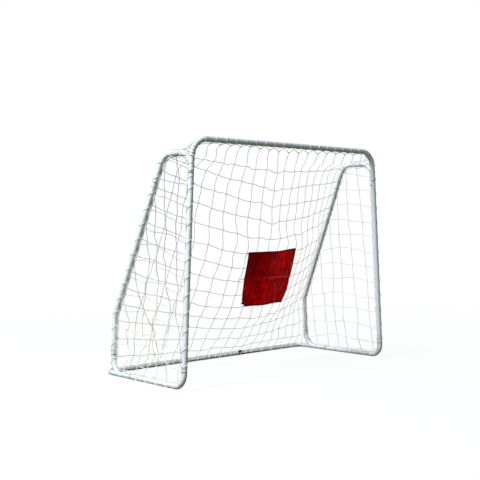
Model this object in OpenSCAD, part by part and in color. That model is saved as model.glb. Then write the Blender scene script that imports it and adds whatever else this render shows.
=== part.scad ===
// Street goal on a plug-together steel tube frame, with a knotted net and a cloth target.
// The mouth faces -Y, +X is to the right of a player who looks in, and +Z is up.
// Each side frame is drawn flat, as depth u behind the post and height w above its base rail,
// and then leans inward about the rail, because the uprights splay towards the ground.

/* [Goal] */
// Overall width at the ground
goal_width = 1372; // [1200:1:1600]
// Overall height to the top of the crossbar
goal_height = 1118; // [1000:1:1300]
// Post axis to rear leg axis
leg_depth = 555; // [480:1:640]
// Rear leg axis to ground bar axis
bar_setback = 55; // [50:1:80]
// Lean of each side frame, wider at the ground
splay = 3.2; // [1:0.1:5]

/* [Tube] */
// Outer diameter of every tube
tube_d = 25; // [22:0.5:32]
// Wall of every tube
tube_wall = 1.2; // [1:0.1:1.5]
// Length of the swaged spigot at a joint
spigot_length = 42; // [36:1:60]
// Radial clearance of a spigot in its socket
spigot_clearance = 0.15; // [0.05:0.05:0.2]
// Width of the groove that shows at a joint
joint_groove = 2; // [1:0.5:4]

/* [Bends] */
// Centre-line radius of the crossbar corners
corner_radius = 85; // [60:1:100]
// Centre-line radius of the arch over each side frame
arch_radius = 85; // [70:1:95]
// Centre-line radius at the foot of each post
foot_radius = 60; // [50:1:80]
// Centre-line radius at the foot of each rear leg
heel_radius = 85; // [70:1:100]
// Centre-line radius of the ground bar elbows
elbow_radius = 50; // [40:1:50]
// Centre-line radius of the knee in each rear leg
knee_radius = 120; // [80:1:160]

/* [Side frame] */
// Crossbar axis down to the arch axis
arch_drop = 58; // [45:1:80]
// Crossbar axis down to the joint in each post
post_joint_drop = 152; // [148:1:220]
// Crossbar axis down to the joint below each arch
leg_joint_drop = 182; // [170:1:260]
// Straight stub above a foot or heel bend, up to its joint
foot_stub = 8; // [4:1:30]
// Height of the knee above the base rail axis
knee_height = 276; // [230:1:330]
// Angle of the rear leg above the knee, from upright
rear_slope = 24.7; // [20:0.1:28]
// Post axis back to the joint in each base rail
rail_joint_depth = 400; // [340:1:420]

/* [Ground bar] */
// Centre of the goal to the middle of each bar connector
connector_offset = 197; // [150:1:260]
// Exposed length of a bar connector
connector_length = 35; // [25:1:45]
// Rounded edge of a bar connector's band
connector_edge = 1.5; // [0.5:0.5:3]

/* [Locking buttons] */
// Diameter of a spring button
button_d = 8; // [6:0.5:9]
// Height that a button stands out of the tube
button_height = 4; // [3:0.5:5]
// Radial clearance of a button in its hole
button_clearance = 0.1; // [0.05:0.05:0.1]
// Width of the leaf spring behind a button
leaf_width = 6; // [5:0.5:7]
// Thickness of the leaf spring
leaf_thickness = 0.8; // [0.6:0.1:1]
// Length of the leaf spring along the tube
leaf_length = 30; // [26:1:34]

/* [Net] */
// Mesh width of the back net
mesh_width = 72; // [70:1:90]
// Mesh height of the back net
mesh_height = 92; // [88:1:110]
// Mesh size of the side nets
side_mesh = 82; // [76:1:110]
// Thickness of the twine
twine = 3; // [2:0.5:4]
// How far the slack back net hangs into the goal
net_bow = 145; // [100:5:180]
// Running gap between the net and a tube
net_gap = 0.3; // [0.2:0.1:0.5]

/* [Target] */
// Width of the cloth target
target_width = 312; // [240:1:340]
// Height of the cloth target
target_height = 280; // [200:1:300]
// Thickness of the hemmed cloth
cloth = 2; // [1.5:0.5:3]
// Height of the target's top edge above the floor
target_top = 598; // [540:1:640]
// Depth of the vertical folds in the cloth
fold_depth = 6; // [3:1:9]

/* [Hidden] */
$fn = 64;
tube_r = tube_d / 2;
bore_r = tube_r - tube_wall;
spigot_r = bore_r - spigot_clearance;
spigot_bore_r = spigot_r - tube_wall;
half_width = goal_width / 2 - tube_r;         // rail axis to the centre of the goal
rear_depth = leg_depth + bar_setback;         // post axis to ground bar axis
post_y = -rear_depth / 2;                     // the origin is below the middle of the whole
bar_y = rear_depth / 2;
crossbar_z = goal_height - tube_r;
crossbar_w = (crossbar_z - tube_r) / cos(splay);
corner_x = half_width - crossbar_w * sin(splay);
corner_turn = 90 - splay;
corner_tangent = corner_radius * tan(corner_turn / 2);
weld_overlap = 6;                             // how far a branch axis passes into the tube it is welded to
arch_w = crossbar_w - arch_drop;
heel_w = heel_radius - weld_overlap;          // top of the heel bend

function slope_u(w) = leg_depth - (w - knee_height) * tan(rear_slope);

// Joints of a side frame: where the tube with the spigot is still full, and the way its spigot points
POST_JOINT = [[0, crossbar_w - post_joint_drop], [0, -1]];
LEG_JOINT = [[slope_u(crossbar_w - leg_joint_drop), crossbar_w - leg_joint_drop],
             [sin(rear_slope), -cos(rear_slope)]];
FOOT_JOINT = [[0, foot_radius + foot_stub], [0, 1]];
HEEL_JOINT = [[leg_depth, heel_w + foot_stub], [0, 1]];
RAIL_JOINT = [[rail_joint_depth, 0], [1, 0]];
CROSSBAR_JOINT = [[-joint_groove / 2, crossbar_z], [1, 0]];
function socket_start(joint) = joint[0] + joint[1] * joint_groove;
button_reach = joint_groove + spigot_length / 2;   // from the end of the full tube to the button

function unit(v) = v / norm(v);
function turn_at(a, b, c) = let (p = unit(b - a), q = unit(c - b))
    atan2(p[0] * q[1] - p[1] * q[0], p * q);
function bend_tangent(points, radii, i) =
    i == 0 || i == len(points) - 1 ? 0
    : radii[i - 1] * tan(abs(turn_at(points[i - 1], points[i], points[i + 1])) / 2);

// ---- Tubes that bend in one plane, drawn in XY ----

// A bend is thicker than the straight tubes on both faces by swell, and they run into it by seat
swell = 0.1;
seat = 0.5;

module tube_section(solid, extra) {
    difference() {
        circle(r = tube_r + extra);
        if (!solid) circle(r = bore_r - extra);
    }
}

module bent_tube(points, radii, solid = false) {
    last = len(points) - 1;
    for (i = [0 : last - 1]) {
        way = unit(points[i + 1] - points[i]);
        start = points[i] + way * (bend_tangent(points, radii, i) - (i > 0 ? seat : 0));
        end = points[i + 1] - way * (bend_tangent(points, radii, i + 1) - (i + 1 < last ? seat : 0));
        if (norm(end - start) > 2 * seat)
            translate([start[0], start[1], 0])
                rotate([0, 0, atan2(way[1], way[0])])
                    rotate([0, 90, 0]) linear_extrude(norm(end - start)) tube_section(solid, 0);
    }
    for (i = [1 : 1 : last - 1]) {
        turn = turn_at(points[i - 1], points[i], points[i + 1]);
        way = unit(points[i] - points[i - 1]);
        start = points[i] - way * bend_tangent(points, radii, i);
        inward = sign(turn) * [-way[1], way[0]];
        centre = start + inward * radii[i - 1];
        from = atan2(-inward[1], -inward[0]) + min(turn, 0);
        translate([centre[0], centre[1], 0])
            rotate([0, 0, from])
                rotate_extrude(angle = abs(turn)) translate([radii[i - 1], 0]) tube_section(solid, swell);
    }
}

// Swaged end of a tube, which runs from z = 0 upwards and is rooted in the tube's wall
module swaged_spigot() {
    rotate_extrude()
        polygon([[bore_r + swell, -seat], [tube_r - swell, -seat], [tube_r - swell, 0],
                 [spigot_r, joint_groove], [spigot_r, joint_groove + spigot_length],
                 [spigot_bore_r, joint_groove + spigot_length], [spigot_bore_r, joint_groove],
                 [bore_r + swell, 0]]);
}

// Puts a child that points along +Z onto a joint, with its +X on the side that the button faces
module at_joint(joint, facing) {
    translate([joint[0][0], joint[0][1], 0])
        rotate([0, 0, atan2(joint[1][1], joint[1][0])])
            rotate([0, 90, 0]) rotate([0, 0, facing > 0 ? 180 : 0]) children();
}

module button_hole() {
    translate([0, 0, button_reach]) rotate([0, 90, 0])
        cylinder(r = button_d / 2 + button_clearance, h = tube_d);
}

// ---- Places ----

// Side frame plane: X is depth behind the post, Y is height above the rail, +Z faces outward
module on_side(side) {
    mirror([side < 0 ? 1 : 0, 0, 0])
        translate([half_width, post_y, tube_r]) rotate([0, -splay, 0]) rotate([90, 0, 90]) children();
}

module on_front_plane() {
    translate([0, post_y, 0]) rotate([90, 0, 0]) children();
}

// ---- Frame ----

function corner_path(side) = [
    [side * (half_width - POST_JOINT[0][1] * sin(splay)), tube_r + POST_JOINT[0][1] * cos(splay)],
    [side * corner_x, crossbar_z],
    [side * joint_groove / 2, crossbar_z]];

module side_joint_hole(side, joint) {
    on_side(side) at_joint(joint, -side) button_hole();
}

module side_spigot(side, joint) {
    on_side(side) at_joint(joint, 1) swaged_spigot();
}

module crossbar_half(side) {
    color("white") difference() {
        union() {
            on_front_plane() bent_tube(corner_path(side), [corner_radius]);
            side_spigot(side, POST_JOINT);
            if (side < 0) on_front_plane() at_joint(CROSSBAR_JOINT, -1) swaged_spigot();
        }
        side_joint_hole(side, POST_JOINT);
        on_front_plane() at_joint(CROSSBAR_JOINT, -1) button_hole();
    }
}

module side_arch(side) {
    path = [[-weld_overlap, arch_w - arch_radius], [-weld_overlap, arch_w],
            [slope_u(arch_w), arch_w], LEG_JOINT[0]];
    color("white") difference() {
        union() {
            on_side(side) difference() {
                bent_tube(path, [arch_radius, arch_radius]);
                translate([-2 * tube_d, 0, -tube_d]) cube([2 * tube_d, crossbar_w, 2 * tube_d]);
            }
            side_spigot(side, LEG_JOINT);
        }
        side_joint_hole(side, LEG_JOINT);
        on_front_plane() bent_tube(corner_path(side), [corner_radius], true);
    }
}

module post(side) {
    color("white") difference() {
        on_side(side) bent_tube([socket_start(POST_JOINT), socket_start(FOOT_JOINT)], []);
        side_joint_hole(side, POST_JOINT);
        side_joint_hole(side, FOOT_JOINT);
    }
}

module rear_leg(side) {
    path = [socket_start(LEG_JOINT), [leg_depth, knee_height], socket_start(HEEL_JOINT)];
    color("white") difference() {
        on_side(side) bent_tube(path, [knee_radius]);
        side_joint_hole(side, LEG_JOINT);
        side_joint_hole(side, HEEL_JOINT);
    }
}

module base_rail(side) {
    color("white") difference() {
        union() {
            on_side(side) bent_tube([FOOT_JOINT[0], [0, 0], RAIL_JOINT[0]], [foot_radius]);
            side_spigot(side, FOOT_JOINT);
            side_spigot(side, RAIL_JOINT);
        }
        side_joint_hole(side, FOOT_JOINT);
        side_joint_hole(side, RAIL_JOINT);
    }
}

module ground_bar_elbow(side) {
    path = [[side * half_width, post_y + socket_start(RAIL_JOINT)[0]], [side * half_width, bar_y],
            [side * (connector_offset + connector_length / 2), bar_y]];
    color("white") difference() {
        translate([0, 0, tube_r]) bent_tube(path, [elbow_radius]);
        side_joint_hole(side, RAIL_JOINT);
    }
}

module heel_bend(side) {
    path = [HEEL_JOINT[0], [leg_depth, -weld_overlap], [leg_depth - heel_radius, -weld_overlap]];
    color("white") difference() {
        union() {
            on_side(side) difference() {
                bent_tube(path, [heel_radius]);
                translate([0, -2 * tube_d, -tube_d]) cube([rear_depth, 2 * tube_d, 2 * tube_d]);
                bent_tube([[rail_joint_depth, 0], [rear_depth, 0]], [], true);
            }
            side_spigot(side, HEEL_JOINT);
        }
        side_joint_hole(side, HEEL_JOINT);
    }
}

module ground_bar_centre() {
    length = 2 * connector_offset - connector_length;
    color("white") translate([-length / 2, bar_y, tube_r])
        rotate([0, 90, 0]) linear_extrude(length) tube_section(false, 0);
}

// Plastic connector: a band as wide as the tubes between two hollow spigots
module bar_connector(side) {
    half = connector_length / 2;
    reach = half + spigot_length;
    wall = 2 * tube_wall;
    color([0.08, 0.08, 0.08]) translate([side * connector_offset, bar_y, tube_r]) rotate([0, 90, 0])
        rotate_extrude()
            polygon([[spigot_r - wall, -reach], [spigot_r, -reach], [spigot_r, -half],
                     [tube_r - connector_edge, -half], [tube_r, connector_edge - half],
                     [tube_r, half - connector_edge], [tube_r - connector_edge, half],
                     [spigot_r, half], [spigot_r, reach], [spigot_r - wall, reach]]);
}

// ---- Locking buttons ----

flange_r = button_d / 2 + 0.75;
flange_thickness = 1;
flange_top = sqrt(spigot_bore_r ^ 2 - flange_r ^ 2) - button_clearance;
dome_r = 0.65 * button_d;

module button() {
    top = tube_r + button_height;
    color("silver") translate([0, 0, button_reach]) rotate([0, 90, 0]) {
        translate([0, 0, flange_top - flange_thickness]) cylinder(r = flange_r, h = flange_thickness);
        intersection() {
            translate([0, 0, flange_top]) cylinder(d = button_d, h = top - flange_top);
            translate([0, 0, top - dome_r]) sphere(r = dome_r);
        }
    }
}

// Bent leaf that lies along the bore: one arm under the button, the other on the far wall
module leaf_spring() {
    t = leaf_thickness;
    upper = flange_top - flange_thickness - t - 0.05;
    lower = -sqrt(spigot_bore_r ^ 2 - (leaf_width / 2) ^ 2) + 0.1;
    color("gray") translate([0, 0, button_reach]) rotate([90, 0, 0]) translate([0, 0, -leaf_width / 2])
        linear_extrude(leaf_width)
            polygon([[upper, 4], [upper + t, 4], [upper + t, -4], [t, 4 - leaf_length],
                     [-t, 4 - leaf_length], [lower, 2], [lower + t, 4], [lower + 2 * t, 2],
                     [0, 5.5 - leaf_length], [upper, -4]]);
}

// The buttons of both side frames face the same way, so that their tubes are alike
module side_button(side, joint) {
    on_side(side) at_joint(joint, -side) button();
}

module crossbar_button() {
    on_front_plane() at_joint(CROSSBAR_JOINT, -1) button();
}

module button_springs() {
    for (side = [-1, 1]) for (joint = [POST_JOINT, LEG_JOINT, FOOT_JOINT, HEEL_JOINT, RAIL_JOINT])
        on_side(side) at_joint(joint, -side) leaf_spring();
    on_front_plane() at_joint(CROSSBAR_JOINT, -1) leaf_spring();
}

// ---- Net ----

// Side frame point at depth u, height w and a distance inward from the frame's plane
function side_point(u, w, inward) = [
    half_width - w * sin(splay) - inward * cos(splay),
    post_y + u,
    tube_r + w * cos(splay) - inward * sin(splay)];

function along(points, t) =
    let (lengths = [for (i = [1 : len(points) - 1]) norm(points[i] - points[i - 1])],
         sums = [for (i = 0, sum = 0; i <= len(lengths); sum = sum + (i < len(lengths) ? lengths[i] : 0),
                      i = i + 1) sum],
         far = t * sums[len(lengths)],
         i = min(len(lengths) - 1, len([for (sum = sums) if (sum < far) 1]) - 1),
         k = max(0, i))
    points[k] + (points[k + 1] - points[k]) * (far - sums[k]) / lengths[k];

net_offset = tube_r + 0.8 * twine + net_gap;   // from a tube's axis to the twine beside it
corner_cut = elbow_radius - (elbow_radius - net_offset) * cos(45);
arch_tangent = arch_radius * tan((90 - rear_slope) / 2);

// Edge of the back net beside a side frame's tube, in front of or below the buttons that stand out of it
edge_drop = button_d;
function edge_point(u, w, facing) =
    side_point(u - edge_drop * cos(facing), w - edge_drop * sin(facing), net_offset);

// Right-hand edge of the back net, from the crossbar along the inner side of the tubes to the ground bar
NET_EDGE = [
    [corner_x - corner_tangent, post_y, crossbar_z - net_offset],
    edge_point(arch_radius - weld_overlap, arch_w, 90),
    edge_point(slope_u(arch_w) - arch_tangent / 3, arch_w - arch_tangent / 5, 90 - rear_slope),
    edge_point(slope_u(arch_w) + arch_tangent * sin(rear_slope), arch_w - arch_tangent * cos(rear_slope),
               rear_slope),
    edge_point(leg_depth, knee_height, 0),
    edge_point(leg_depth, heel_w, 0),
    [half_width - corner_cut, bar_y - corner_cut, tube_r]];

// Middle of the back net as a curve of depth and height, from the crossbar to the ground bar
NET_MIDDLE = [
    [post_y, crossbar_z - net_offset],
    [post_y + net_bow, 0.573 * goal_height],
    [post_y + 1.45 * net_bow, 0.25 * goal_height],
    [bar_y - net_offset, tube_r]];
function bezier(p, t) =
    p[0] * (1 - t) ^ 3 + p[1] * 3 * t * (1 - t) ^ 2 + p[2] * 3 * t ^ 2 * (1 - t) + p[3] * t ^ 3;

half_columns = round((half_width - crossbar_w * sin(splay) / 2) / mesh_width);
net_rows = round(1.25 * goal_height / mesh_height);
flat_half = 160;                              // the net stays flat this far to each side of its middle
left_lead = 0.38;                             // rows by which the net is gathered at the top of each edge
right_lead = 1.85;
middle_lead = 0.26;
edge_pull = 0.49;                             // how much slower the net leaves its middle than its edges

// Smooth step from 0 at a to 1 at b
function ramp(x, a, b) = let (q = min(1, max(0, (x - a) / (b - a)))) q * q * (3 - 2 * q);

// Sideways drift of the middle column down the net, as a share of half its width
function drift(v) = -0.136 + 0.132 * ramp(v, -0.1, 0.5) + 0.128 * ramp(v, 0.5, 1);

// Crossing of column i, counted from the left edge, and row j, counted from the crossbar
function net_point(i, j) =
    let (s = i / half_columns - 1,
         v = j / net_rows,
         lead = min(1, j) * (s < 0 ? left_lead : right_lead),
         edge = along(NET_EDGE, (j + lead) / (net_rows + lead)),
         middle = bezier(NET_MIDDLE, (j + middle_lead) / (net_rows + middle_lead)),
         x = edge[0] * (s + drift(v) * (1 - s * s)),
         crease = edge[0] * drift(v),
         flat = flat_half * ramp(v, 0.29, 0.38) * (1 - ramp(v, 0.66, 0.84)),
         u = max(0, (abs(x - crease) - flat) / (edge[0] - sign(s) * crease - flat)),
         spread = j == 0 ? u * (2 - u) : u * (1 - edge_pull * (1 - u)))
    [x, middle[0] + (edge[1] - middle[0]) * spread, middle[1] + (edge[2] - middle[1]) * spread];

// Net of square twine: a pad at each crossing, and four walls along each twine between two pads
module twine_net(columns, rows, points) {
    across = function(i, j) unit(points[j][min(columns, i + 1)] - points[j][max(0, i - 1)]);
    down = function(i, j) unit(points[min(rows, j + 1)][i] - points[max(0, j - 1)][i]);
    corners = [for (j = [0 : rows]) for (i = [0 : columns])
        let (a = across(i, j), d = down(i, j), n = unit(cross(a, d)))
        for (k = [1, -1]) for (corner = [[-1, -1], [1, -1], [1, 1], [-1, 1]])
            points[j][i] + twine / 2 * (corner[0] * a + corner[1] * d + k * n)];
    first = function(i, j) 8 * (j * (columns + 1) + i);
    pads = [for (j = [0 : rows]) for (i = [0 : columns]) let (p = first(i, j))
        each [[p + 3, p + 2, p + 1, p], [p + 4, p + 5, p + 6, p + 7],
              if (i == 0) [p, p + 4, p + 7, p + 3],
              if (i == columns) [p + 2, p + 6, p + 5, p + 1],
              if (j == 0) [p + 1, p + 5, p + 4, p],
              if (j == rows) [p + 3, p + 7, p + 6, p + 2]]];
    walls = function(a, b) [for (k = [0 : 3]) [a[k], b[k], b[(k + 1) % 4], a[(k + 1) % 4]]];
    twines = [for (j = [0 : rows]) for (i = [0 : columns]) let (p = first(i, j))
        each concat(
            i == columns ? [] : let (q = first(i + 1, j))
                walls([p + 1, p + 5, p + 6, p + 2], [q, q + 4, q + 7, q + 3]),
            j == rows ? [] : let (q = first(i, j + 1))
                walls([p + 2, p + 6, p + 7, p + 3], [q + 1, q + 5, q + 4, q]))];
    polyhedron(corners, [for (face = concat(pads, twines))
        each [[face[0], face[1], face[2]], [face[0], face[2], face[3]]]]);
}

module net_back() {
    columns = 2 * half_columns;
    color("white") twine_net(columns, net_rows,
        [for (j = [0 : net_rows]) [for (i = [0 : columns]) net_point(i, j)]]);
}

function arc_points(centre, radius, from, to) =
    [for (k = [0 : 8]) centre + radius * [cos(from + (to - from) * k / 8), sin(from + (to - from) * k / 8)]];

// Opening of a side frame, less a strip along its tubes
module side_opening(inset) {
    heel_start = -asin((heel_w - inset) / (heel_radius - inset));
    front_end = 180 - acos((arch_radius - weld_overlap - inset) / (arch_radius - inset));
    polygon(concat(
        arc_points([foot_radius, foot_radius], foot_radius - inset, 180, 270),
        arc_points([leg_depth - heel_radius, heel_w], heel_radius - inset, heel_start, 0),
        arc_points([leg_depth - knee_radius, knee_height - knee_radius * tan(rear_slope / 2)],
                   knee_radius - inset, 0, rear_slope),
        arc_points([slope_u(arch_w) - arch_tangent, arch_w - arch_radius],
                   arch_radius - inset, rear_slope, 90),
        arc_points([arch_radius - weld_overlap, arch_w - arch_radius], arch_radius - inset, 90, front_end)));
}

module net_side(side) {
    clear = tube_r + net_gap;
    color("white") on_side(side) translate([0, 0, -twine / 2]) linear_extrude(twine) {
        intersection() {
            side_opening(clear);
            union() {
                for (u = [side_mesh : side_mesh : rear_depth])
                    translate([u - twine / 2, 0]) square([twine, crossbar_w]);
                for (w = [side_mesh : side_mesh : crossbar_w])
                    translate([0, w - twine / 2]) square([rear_depth, twine]);
            }
        }
        difference() {
            side_opening(clear);
            side_opening(clear + twine);
        }
    }
}

// ---- Cloth target ----

tie_r = 1;
tie_hole_r = 3;
tie_margin = 9;                                // from the cloth's edge to a row of ties
tie_column = 2;                                // counted from the middle column of the net
fold_count = 5;
stand_off = 1.6 * (twine / 2 + net_gap) + (cloth + fold_depth) / 2;
target_bottom = target_top - target_height;

// Column of the back net, and the point on it at height z
function net_column(i) = [for (j = [0 : net_rows]) net_point(i, j)];
MIDDLE_COLUMN = net_column(half_columns);
TIE_COLUMNS = [for (side = [-1, 1]) net_column(half_columns + side * tie_column)];
function row_above(column, z) = len([for (p = column) if (p[2] > z) 1]) - 1;
function column_point(column, z) = let (j = row_above(column, z), a = column[j], b = column[j + 1])
    a + (b - a) * (z - a[2]) / (b[2] - a[2]);

// Nearest height on the net that is clear of the crossing twines
function tie_height(z) =
    let (j = row_above(MIDDLE_COLUMN, z), a = MIDDLE_COLUMN[j][2], b = MIDDLE_COLUMN[j + 1][2])
    b + (a - b) * min(0.9, max(0.1, (z - b) / (a - b)));
TIE_HEIGHTS = [for (z = [target_top - tie_margin, target_top - target_height / 2,
                         target_bottom + tie_margin]) tie_height(z)];

function cloth_point(x, z) =
    let (calm = 1 - (2 * x / target_width) ^ 4, fold = fold_depth / 2 * cos(fold_count * 360 * x / target_width))
    [x, column_point(MIDDLE_COLUMN, z)[1] - stand_off + fold * calm, z];

// A tie is a ring round the twine at knot and through two holes in the cloth beside it
TIES = [for (column = TIE_COLUMNS) for (z = TIE_HEIGHTS)
    let (knot = column_point(column, z), front = cloth_point(knot[0], z), half = (knot[1] - front[1]) / 2,
         ring = half + twine + tie_r)
    [(knot + front) / 2, ring, sqrt(ring ^ 2 - half ^ 2)]];

// Cloth between two grids of points, one on each face
module cloth_sheet(points, thickness) {
    rows = len(points) - 1;
    columns = len(points[0]) - 1;
    count = (rows + 1) * (columns + 1);
    at = function(i, j, face) face * count + j * (columns + 1) + i;
    corners = [for (y = [-thickness / 2, thickness / 2]) for (row = points) for (p = row) p + [0, y, 0]];
    skins = [for (j = [0 : rows - 1]) for (i = [0 : columns - 1])
        each [[at(i, j, 0), at(i, j + 1, 0), at(i + 1, j + 1, 0), at(i + 1, j, 0)],
              [at(i, j, 1), at(i + 1, j, 1), at(i + 1, j + 1, 1), at(i, j + 1, 1)]]];
    sides = concat(
        [for (i = [0 : columns - 1]) each [
            [at(i, 0, 0), at(i + 1, 0, 0), at(i + 1, 0, 1), at(i, 0, 1)],
            [at(i, rows, 1), at(i + 1, rows, 1), at(i + 1, rows, 0), at(i, rows, 0)]]],
        [for (j = [0 : rows - 1]) each [
            [at(0, j, 1), at(0, j + 1, 1), at(0, j + 1, 0), at(0, j, 0)],
            [at(columns, j, 0), at(columns, j + 1, 0), at(columns, j + 1, 1), at(columns, j, 1)]]]);
    polyhedron(corners, [for (face = concat(skins, sides))
        each [[face[0], face[1], face[2]], [face[0], face[2], face[3]]]]);
}

module target_patch() {
    columns = 8 * fold_count;
    rows = 6;
    color([0.5, 0.05, 0.1]) difference() {
        cloth_sheet([for (j = [0 : rows]) [for (i = [0 : columns])
            cloth_point((i / columns - 0.5) * target_width, target_top - j / rows * target_height)]], cloth);
        for (tie = TIES) for (side = [-1, 1])
            translate(cloth_point(tie[0][0] + side * tie[2], tie[0][2])) rotate([90, 0, 0])
                cylinder(r = tie_hole_r, h = 4 * cloth, center = true);
    }
}

// Loops of cord through the cloth and round the twines of the net
module target_ties() {
    color("white") for (tie = TIES)
        translate(tie[0]) rotate_extrude() translate([tie[1], 0]) circle(r = tie_r);
}

crossbar_half(-1);  // crossbar_left
crossbar_half(1);  // crossbar_right
post(-1);  // post_left
post(1);  // post_right
side_arch(-1);  // side_arch_left
side_arch(1);  // side_arch_right
rear_leg(-1);  // rear_leg_left
rear_leg(1);  // rear_leg_right
base_rail(-1);  // base_rail_left
base_rail(1);  // base_rail_right
heel_bend(-1);  // heel_bend_left
heel_bend(1);  // heel_bend_right
ground_bar_elbow(-1);  // ground_bar_left
ground_bar_elbow(1);  // ground_bar_right
ground_bar_centre();
bar_connector(-1);  // bar_connector_left
bar_connector(1);  // bar_connector_right
net_back();
net_side(-1);  // net_side_left
net_side(1);  // net_side_right
target_patch();
target_ties();
button_springs();
side_button(-1, POST_JOINT);  // button_post_top_left
side_button(1, POST_JOINT);  // button_post_top_right
side_button(-1, LEG_JOINT);  // button_leg_top_left
side_button(1, LEG_JOINT);  // button_leg_top_right
side_button(-1, FOOT_JOINT);  // button_foot_left
side_button(1, FOOT_JOINT);  // button_foot_right
side_button(-1, HEEL_JOINT);  // button_heel_left
side_button(1, HEEL_JOINT);  // button_heel_right
side_button(-1, RAIL_JOINT);  // button_rail_left
side_button(1, RAIL_JOINT);  // button_rail_right
crossbar_button();  // button_crossbar
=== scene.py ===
import bpy
import numpy as np
from math import cos, pi, radians, sin, tan
from mathutils import Euler, Matrix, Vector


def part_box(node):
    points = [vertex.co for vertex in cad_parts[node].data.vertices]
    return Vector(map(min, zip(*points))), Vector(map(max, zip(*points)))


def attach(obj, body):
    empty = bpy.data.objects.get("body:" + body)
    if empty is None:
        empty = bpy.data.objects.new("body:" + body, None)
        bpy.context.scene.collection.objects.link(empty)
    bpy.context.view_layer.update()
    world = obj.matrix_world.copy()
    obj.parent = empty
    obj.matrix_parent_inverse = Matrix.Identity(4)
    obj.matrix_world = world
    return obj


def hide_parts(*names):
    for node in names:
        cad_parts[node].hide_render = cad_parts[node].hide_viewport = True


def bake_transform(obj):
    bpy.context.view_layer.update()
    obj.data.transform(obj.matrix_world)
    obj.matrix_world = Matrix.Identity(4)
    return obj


# The goal's mouth faces -Y, +X is to the right of a player who looks in, and +Z is up.
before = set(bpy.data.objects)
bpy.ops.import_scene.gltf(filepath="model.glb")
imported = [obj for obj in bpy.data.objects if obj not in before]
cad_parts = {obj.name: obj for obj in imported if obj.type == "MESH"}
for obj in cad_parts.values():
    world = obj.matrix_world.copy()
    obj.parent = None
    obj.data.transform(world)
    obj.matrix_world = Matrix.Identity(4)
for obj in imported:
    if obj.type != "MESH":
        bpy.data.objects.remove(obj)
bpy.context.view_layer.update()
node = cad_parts

# ---- Camera, floor and light ----
# The camera stands low and to the left of the mouth, so that it sees the net's crease, the inside
# of the right side frame and the outside of the left one. The floor is plain and pale.

SENSOR = 36.0
FOCAL_TO_WIDTH = 848.4 / 480
LOOK_DOWN, HEADING, ROLL = 0.9, 41.75, 0.53  # degrees
camera_data = bpy.data.cameras.new("camera")
camera_data.sensor_width = SENSOR
camera_data.lens = FOCAL_TO_WIDTH * SENSOR
camera = bpy.data.objects.new("camera", camera_data)
camera.location = (-2.941, -3.222, 0.714)
aim = Euler((radians(90 - LOOK_DOWN), 0, radians(-HEADING))).to_matrix()
aim = aim @ Matrix.Rotation(radians(-ROLL), 3, "Z")
camera.rotation_euler = aim.to_euler()
bpy.context.scene.collection.objects.link(camera)
bpy.context.scene.camera = camera
bpy.context.scene.view_settings.view_transform = "Standard"


def open_tree(tree):
    """Empties a node tree and returns two short hands: one adds a node, the other joins two sockets."""
    tree.nodes.clear()

    def add(kind, **settings):
        made = tree.nodes.new(kind)
        for key, value in settings.items():
            setattr(made, key, value)
        return made

    return add, tree.links.new


def seen_directly(add, link):
    """1 for rays from the camera and for those that pass through something clear, 0 for all the others."""
    path = add("ShaderNodeLightPath")
    either = add("ShaderNodeMath", operation="MAXIMUM")
    link(path.outputs["Is Camera Ray"], either.inputs[0])
    link(path.outputs["Is Transmission Ray"], either.inputs[1])
    return either.outputs[0]


def by_ray(add, link, output, unseen, seen):
    """Ends a tree with two shaders: the first lights the goal and the second is what the camera sees."""
    choose = add("ShaderNodeMixShader")
    link(seen_directly(add, link), choose.inputs["Fac"])
    link(unseen.outputs[0], choose.inputs[1])
    link(seen.outputs[0], choose.inputs[2])
    link(choose.outputs[0], add(output).inputs["Surface"])


def between(add, link, value, low, high, at_low=0.0, at_high=1.0):
    """The value, stretched so that low gives at_low and high gives at_high, and clamped."""
    made = add("ShaderNodeMapRange")
    for socket, number in (("From Min", low), ("From Max", high), ("To Min", at_low), ("To Max", at_high)):
        made.inputs[socket].default_value = number
    link(value, made.inputs["Value"])
    return made.outputs["Result"]


def blend_colours(add, link, share, first, second):
    """The first colour where share is 0 and the second where it is 1. Each is a colour or a socket."""
    made = add("ShaderNodeMix", data_type="RGBA")
    link(share, made.inputs[0])
    for socket, colour in ((made.inputs[6], first), (made.inputs[7], second)):
        if isinstance(colour, tuple):
            socket.default_value = colour
        else:
            link(colour, socket)
    return made.outputs[2]


FLOOR_HALF = 40.0
SHADOW_NEAR, SHADOW_FAR = 1.0, 4.0
floor_mesh = bpy.data.meshes.new("floor")
floor_mesh.from_pydata(
    [(-FLOOR_HALF, -FLOOR_HALF, 0), (FLOOR_HALF, -FLOOR_HALF, 0),
     (FLOOR_HALF, FLOOR_HALF, 0), (-FLOOR_HALF, FLOOR_HALF, 0)], [], [(0, 1, 2, 3)])
floor = bpy.data.objects.new("floor", floor_mesh)
bpy.context.scene.collection.objects.link(floor)

floor_finish = bpy.data.materials.new("pale_floor")
floor_finish.use_nodes = True
add, link = open_tree(floor_finish.node_tree)
pale = add("ShaderNodeBsdfDiffuse")
pale.inputs["Color"].default_value = (0.9, 0.9, 0.9, 1)
glow = add("ShaderNodeEmission")
glow.inputs["Color"].default_value = (1, 1, 1, 1)
soft_shadow = add("ShaderNodeMixShader")
ground_place = add("ShaderNodeTexCoord")
reach = add("ShaderNodeVectorMath", operation="LENGTH")
link(ground_place.outputs["Object"], reach.inputs[0])
fade = between(add, link, reach.outputs["Value"], SHADOW_NEAR, SHADOW_FAR, 0.90, 1.0)
link(fade, soft_shadow.inputs["Fac"])
link(pale.outputs[0], soft_shadow.inputs[1])
link(glow.outputs[0], soft_shadow.inputs[2])
grassy = add("ShaderNodeBsdfDiffuse")
grassy.inputs["Color"].default_value = (0.090, 0.112, 0.030, 1)
by_ray(add, link, "ShaderNodeOutputMaterial", grassy, soft_shadow)
floor_mesh.materials.append(floor_finish)

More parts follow.
